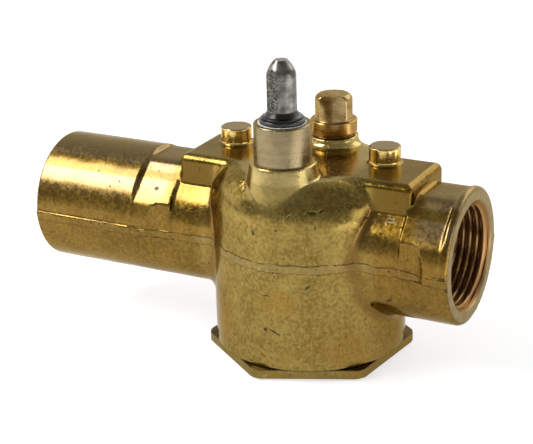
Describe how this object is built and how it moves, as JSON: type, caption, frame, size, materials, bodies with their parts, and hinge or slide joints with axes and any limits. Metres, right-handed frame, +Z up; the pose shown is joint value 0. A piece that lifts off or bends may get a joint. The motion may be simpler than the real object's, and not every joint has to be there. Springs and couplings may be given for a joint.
{
  "type": "rotary valve body",
  "caption": "Forged brass two-way valve body with threaded ports, hexagonal bottom cap, flat mounting slab, steel stem that swings a rubber plug, and a guide post.",
  "frame": {"origin": "on the barrel's axis, in the plane of the bottom cap that the valve stands on", "axes": "+X along the port axis towards the short port's mouth, +Z up along the stem, +Y towards the guide post"},
  "size_m": [0.1158, 0.0524, 0.079],
  "materials": {
    "forged_brass": "satin forging skin",
    "machined_brass": "fine turned",
    "stainless_steel": "turned, worn",
    "black_rubber": "smooth",
    "bearing_plastic": "turned"
  },
  "bodies": {
    "housing": {"valve_body": "forged_brass", "bottom_cap": "forged_brass", "bottom_cap_seal": "black_rubber", "seat_nozzle": "machined_brass", "lower_bush": "bearing_plastic", "lower_oring": "black_rubber", "oring_spacer": "bearing_plastic", "upper_oring": "black_rubber", "upper_bush": "bearing_plastic", "stem_wiper": "black_rubber", "thrust_washer": "stainless_steel", "guide_post": "machined_brass"},
    "rotor": {"stem": "stainless_steel", "retaining_ring": "stainless_steel", "paddle_arm": "machined_brass", "arm_pin": "stainless_steel", "plug": "black_rubber", "plug_washer": "stainless_steel", "plug_rivet": "stainless_steel"}
  },
  "joints": [
    {"name": "stem_turn", "type": "hinge", "parent": "housing", "child": "rotor", "pos_m": [0, -0.014, 0.0309], "axis": [0, 0, -1], "range_deg": [0, 40]}
  ]
}
